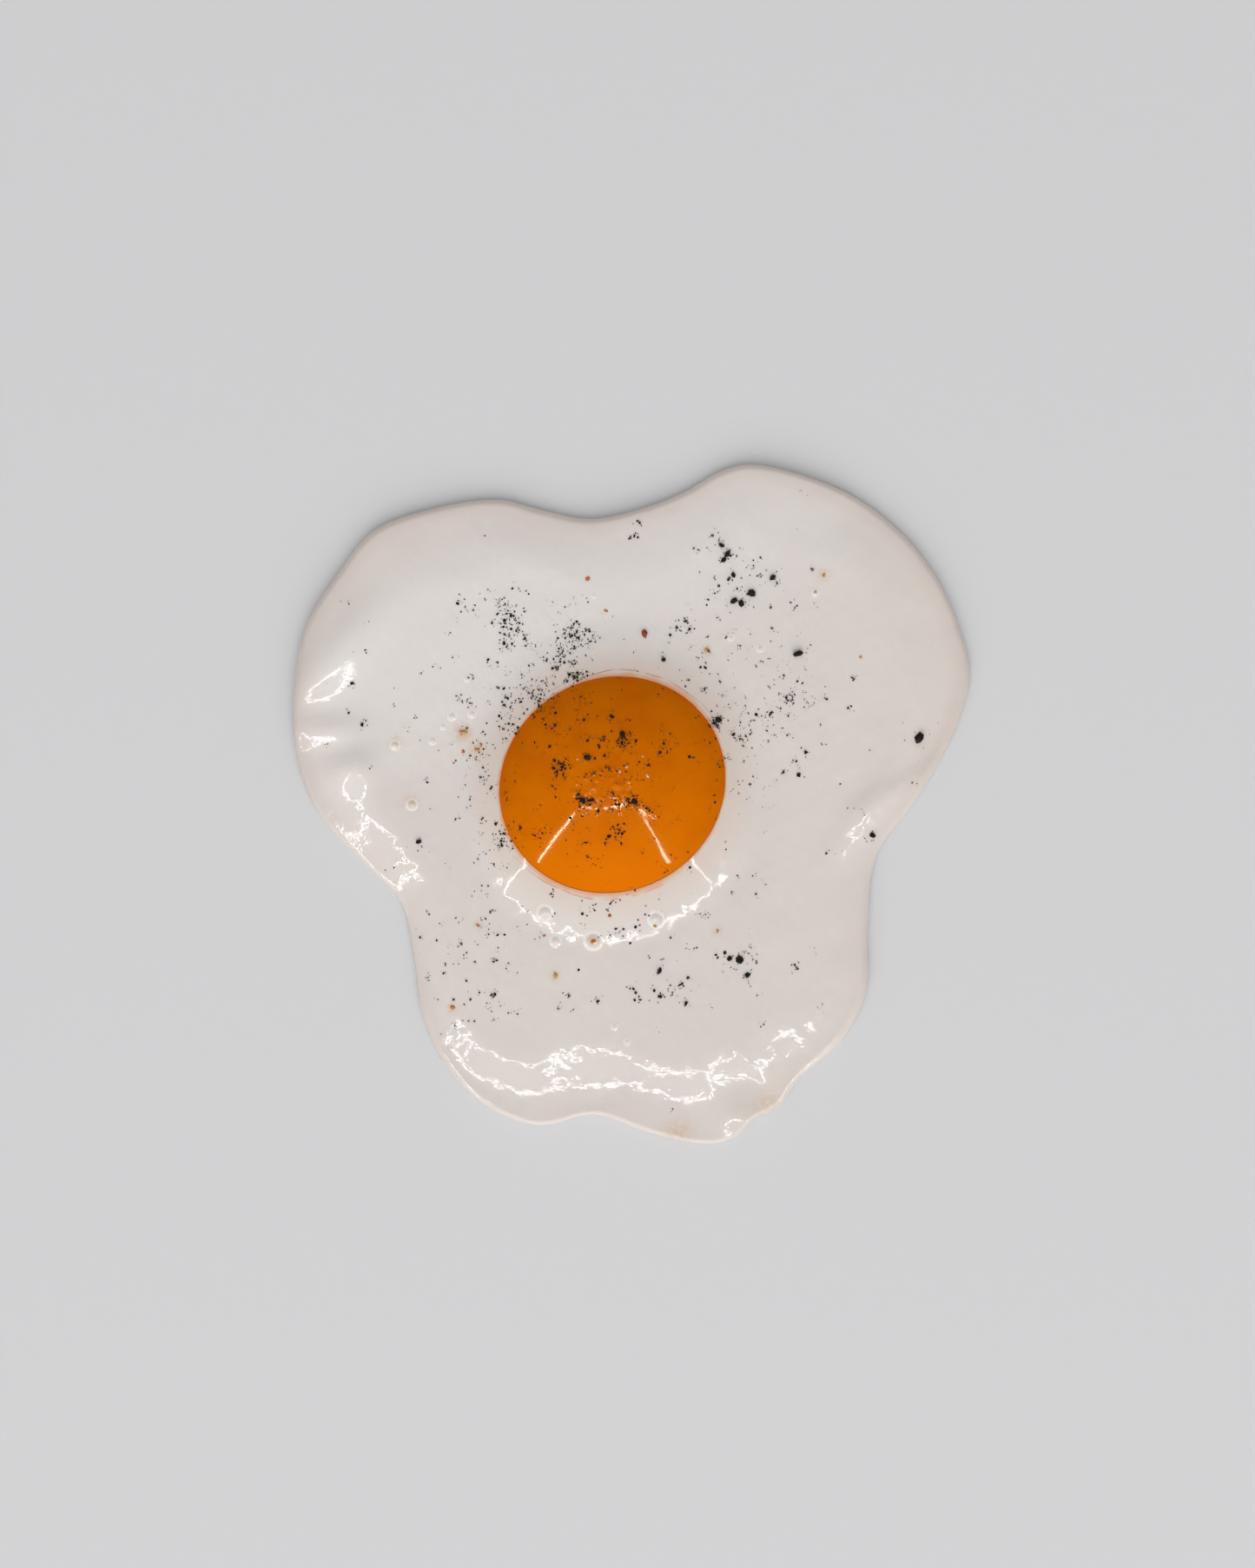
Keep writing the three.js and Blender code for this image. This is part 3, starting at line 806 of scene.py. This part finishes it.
def white_surface(tree):
    from_rim = attribute(tree, "from_rim")
    from_outline = attribute(tree, "from_edge")
    colour = noise(tree, WARM_BLOTCHES, detail=3).ramp(0.4, 0.65).blend(WHITE, WHITE_WARM)
    x, y, _ = coordinates(tree)
    # Painted light: a lighter band across the upper left, standing in for brighter light there.
    upward = y - x * PAINTED_LIGHT_LEAN
    painted_light_band = upward.ramp(*PAINTED_LIGHT_START) * upward.ramp(*PAINTED_LIGHT_END)
    colour = (painted_light_band * PAINTED_LIGHT_STRENGTH).blend(colour, WHITE_PAINTED_LIGHT)
    # Partly painted shade: the edge tint and darker rim are the thin edge's own tone, made stronger towards
    # the back, away from the light.
    edge_shade = FRONT_EDGE_SHADE + y.ramp(*EDGE_SHADE_RISES) * (1 - FRONT_EDGE_SHADE)
    near_edge = from_outline.ramp(EDGE_TINT_WIDTH, 0) * (0.4 + noise(tree, EDGE_BLOTCHES) * 0.4)
    colour = (near_edge * edge_shade).blend(colour, EDGE_TINT)
    dark_edge = from_outline.ramp(EDGE_DARK_WIDTH, 0) * edge_shade * EDGE_DARK_STRENGTH
    colour = dark_edge.blend(colour, EDGE_DARK)
    # Partly painted shade: the white is darker and warmer round the yolk's foot, where it climbs to the yolk.
    near_rim = from_rim.ramp(MOUND_TINT_AND_SHADE_WIDTH, 0) * (0.6 + noise(tree, MOUND_BLOTCHES) * 0.5)
    colour = near_rim.blend(colour, MOUND_TINT_AND_SHADE)
    halo = attribute(tree, "halo") - (noise(tree, HALO_BLOTCHES, detail=3) - 0.5) * HALO_RAGGED
    colour = (halo.ramp(HALO_END, 0) * HALO_STRENGTH).blend(colour, HALO)
    wobble = from_rim + (noise(tree, HAIRLINE_WANDERS, detail=1) - 0.5)
    line = wobble.ramp(*HAIRLINE_RISES) * wobble.ramp(*HAIRLINE_FALLS) * attribute(tree, "hairline")
    line = line * noise(tree, HAIRLINE_GAPS).ramp(0.35, 0.6)
    colour = (line * HAIRLINE_STRENGTH).blend(colour, HAIRLINE)
    stain = attribute(tree, "stain") * noise(tree, STAIN_BLOTCHES).ramp(0.3, 0.6)
    colour = stain.blend(colour, TAN)
    # Painted highlight: a pale ring round each blister.
    blister = attribute(tree, "blister")
    painted_blister_highlight = blister.ramp(*PAINTED_BLISTER_HIGHLIGHT_RISES) * blister.ramp(*PAINTED_BLISTER_HIGHLIGHT_FALLS)
    colour = (painted_blister_highlight * PAINTED_BLISTER_HIGHLIGHT_STRENGTH).blend(colour, PAINTED_BLISTER_HIGHLIGHT)
    freedom = FREEDOM_AT_YOLK + from_rim.ramp(0, FREEDOM_WIDTH) * (1 - FREEDOM_AT_YOLK)
    coarse_size, coarse_depth = COARSE_RELIEF
    fine_size, fine_depth = FINE_RELIEF
    coarse_relief = bumped(tree, noise(tree, coarse_size, detail=1) * freedom, coarse_depth)
    relief = bumped(tree, noise(tree, fine_size, detail=1) * freedom, fine_depth, coarse_relief)
    return {
        "Base Color": colour,
        "Roughness": GLOSSY + from_outline.ramp(*LIP_DULL_FROM) * LIP_DULLNESS,
        "IOR": EGG_IOR,
        "Subsurface Weight": WHITE_SCATTERED,
        "Subsurface Radius": WHITE_SCATTER_REACH,
        "Subsurface Scale": SCATTERING,
        "Normal": relief,
    }


# Painted light: the yolk turns lighter between these, towards the front, which faces the light.
YOLK_PAINTED_LIGHT_RISES = (-2 * MM, -14 * MM)  # towards the front
YOLK_BLOTCHES = 6
YOLK_SPECKS = 0.5
YOLK_MOTTLING = 0.25
YOLK_RELIEF = (0.4, 0.003)
YOLK_GLOSSY = 0.07
YOLK_SHEEN_TINT = (1.0, 0.85, 0.6, 1)
YOLK_SCATTERED = 0.1
YOLK_SCATTER_REACH = (1.0, 0.35, 0.05)


def yolk_surface(tree):
    _, y, _ = coordinates(tree)
    patchy = noise(tree, YOLK_BLOTCHES, detail=3).ramp(0.35, 0.7)
    colour = patchy.blend(YOLK, YOLK_DEEP)
    # Painted light: lighter towards the front, which faces the light.
    colour = y.ramp(*YOLK_PAINTED_LIGHT_RISES).blend(colour, YOLK_PAINTED_LIGHT)
    colour = (noise(tree, YOLK_SPECKS).ramp(0.5, 0.75) * YOLK_MOTTLING).blend(colour, YOLK_DEEP)
    size, depth = YOLK_RELIEF
    return {
        "Base Color": colour,
        "Roughness": YOLK_GLOSSY,
        "Specular Tint": YOLK_SHEEN_TINT,
        "IOR": EGG_IOR,
        "Subsurface Weight": YOLK_SCATTERED,
        "Subsurface Radius": YOLK_SCATTER_REACH,
        "Subsurface Scale": SCATTERING,
        "Normal": bumped(tree, noise(tree, size, detail=1), depth),
    }


PEPPER_SPECKS = 0.5
PEPPER_MOTTLING = 0.4
HUSK_STRENGTH = 0.8
PEPPER_ROUGHNESS = 0.6
PEPPER_IOR = 1.3
FLAKE_SPECKS = 0.4
FLAKE_MOTTLING = 0.3
FLAKE_ROUGHNESS = 0.3


def pepper_surface(tree):
    mottled = noise(tree, PEPPER_SPECKS).ramp(0.5, 0.8) * PEPPER_MOTTLING
    husky = attribute(tree, "tone").ramp(0.15, 0.7) * HUSK_STRENGTH
    colour = (mottled + husky).blend(PEPPER, PEPPER_HUSK)
    return {"Base Color": colour, "Roughness": PEPPER_ROUGHNESS, "IOR": PEPPER_IOR}


def flake_surface(tree):
    tone = attribute(tree, "tone")
    colour = tone.ramp(0, 0.4).blend(CHILLI_RED, CHILLI_ORANGE)
    colour = tone.ramp(0.4, 0.8).blend(colour, HUSK_TAN)
    colour = tone.ramp(0.85, 1).blend(colour, HUSK_PINK)
    speckle = noise(tree, FLAKE_SPECKS).ramp(0.4, 0.7) * FLAKE_MOTTLING
    return {"Base Color": speckle.blend(colour, FLAKE_SPECKLE), "Roughness": FLAKE_ROUGHNESS, "IOR": EGG_IOR}


white_piece(material("set_white", white_surface))
yolk_piece(material("yolk_film", yolk_surface))
pepper_piece(material("pepper", pepper_surface))
flake_piece(material("flakes", flake_surface))


# ---- Floor, light and camera, metres ----

FLOOR_SIZE = 3.0
FLOOR_COLOUR = srgb(222, 222, 223)
FLOOR_ROUGHNESS = 0.9
FILL = (0.505, 0.505, 0.51, 1)  # light from all round
FILL_IN_GLOSS = (0.02, 0.02, 0.02, 1)
PANEL_DISTANCE = 2.4
# Corners of a leaning panel of light, in panel distances: left x, right x, y, z.
PANEL_TOP = (-0.62, 0.52, -0.47, 1.6)
PANEL_BOTTOM = (-0.87, 0.72, -1.0, 0.2)
SOFT_LIGHT_TOP = (0, -1.128, 3.84)
SOFT_LIGHT_BOTTOM = (0, -2.4, 0.48)
SOFT_LIGHT_WIDTH = 3.576
SOFT_LIGHT_WATTS = 66
TUBE_WIDTH = 0.036
TUBE_RADIANCE = {"top": 65, "left": 55, "right": 42}
CAMERA_AT = (-0.0007, 0.0035, 0.7535)
LENS = 100
SENSOR = 36


def area_light(name, start, end, width, watts, towards=Vector((0, 0, 0))):
    """A strip of light from start to end that faces a point."""
    start, end = Vector(start), Vector(end)
    data = bpy.data.lights.new(name, "AREA")
    data.shape = "RECTANGLE"
    data.size = (end - start).length
    data.size_y = width
    data.energy = watts
    lamp = bpy.data.objects.new(name, data)
    along = (end - start).normalized()
    middle = (start + end) / 2
    back = (middle - towards)
    back = (back - back.dot(along) * along).normalized()
    lamp.matrix_world = Matrix((along, back.cross(along), back)).transposed().to_4x4()
    lamp.location = middle
    bpy.context.scene.collection.objects.link(lamp)
    lamp.visible_camera = False
    return lamp


def floor():
    flat = bmesh.new()
    bmesh.ops.create_grid(flat, x_segments=1, y_segments=1, size=FLOOR_SIZE / 2)
    mesh = bpy.data.meshes.new("floor")
    flat.to_mesh(mesh)
    flat.free()
    plain = {"Base Color": FLOOR_COLOUR, "Roughness": FLOOR_ROUGHNESS}
    mesh.materials.append(material("floor", lambda tree: plain))
    made = bpy.data.objects.new("floor", mesh)
    bpy.context.scene.collection.objects.link(made)


def light():
    world = bpy.data.worlds.new("studio")
    world.use_nodes = True
    tree = world.node_tree
    tree.nodes.clear()
    in_gloss = Shade(tree).add("ShaderNodeLightPath", {}, {}, out="Is Glossy Ray")
    sky = Shade(tree).add("ShaderNodeBackground", {}, {"Color": in_gloss.blend(FILL, FILL_IN_GLOSS)})
    Shade(tree).add("ShaderNodeOutputWorld", {}, {"Surface": sky})
    bpy.context.scene.world = world
    corner = {}
    for name, (left, right, y, z) in (("top", PANEL_TOP), ("bottom", PANEL_BOTTOM)):
        corner[name, -1] = Vector((left, y, z)) * PANEL_DISTANCE
        corner[name, 1] = Vector((right, y, z)) * PANEL_DISTANCE
    high, low = Vector(SOFT_LIGHT_TOP), Vector(SOFT_LIGHT_BOTTOM)
    soft = area_light("soft_light", high, low, SOFT_LIGHT_WIDTH, SOFT_LIGHT_WATTS)
    soft.visible_glossy = False
    for name, start, end in (
        ("top", corner["top", -1], corner["top", 1]),
        ("left", corner["top", -1], corner["bottom", -1]),
        ("right", corner["top", 1], corner["bottom", 1]),
    ):
        watts = TUBE_RADIANCE[name] * math.pi * (end - start).length * TUBE_WIDTH
        tube = area_light("tube_" + name, start, end, TUBE_WIDTH, watts)
        tube.visible_diffuse = False


def camera():
    data = bpy.data.cameras.new("camera")
    data.lens = LENS
    data.sensor_width = SENSOR
    made = bpy.data.objects.new("camera", data)
    made.location = CAMERA_AT
    bpy.context.scene.collection.objects.link(made)
    bpy.context.scene.camera = made


floor()
light()
camera()
bpy.context.scene.view_settings.view_transform = "Standard"
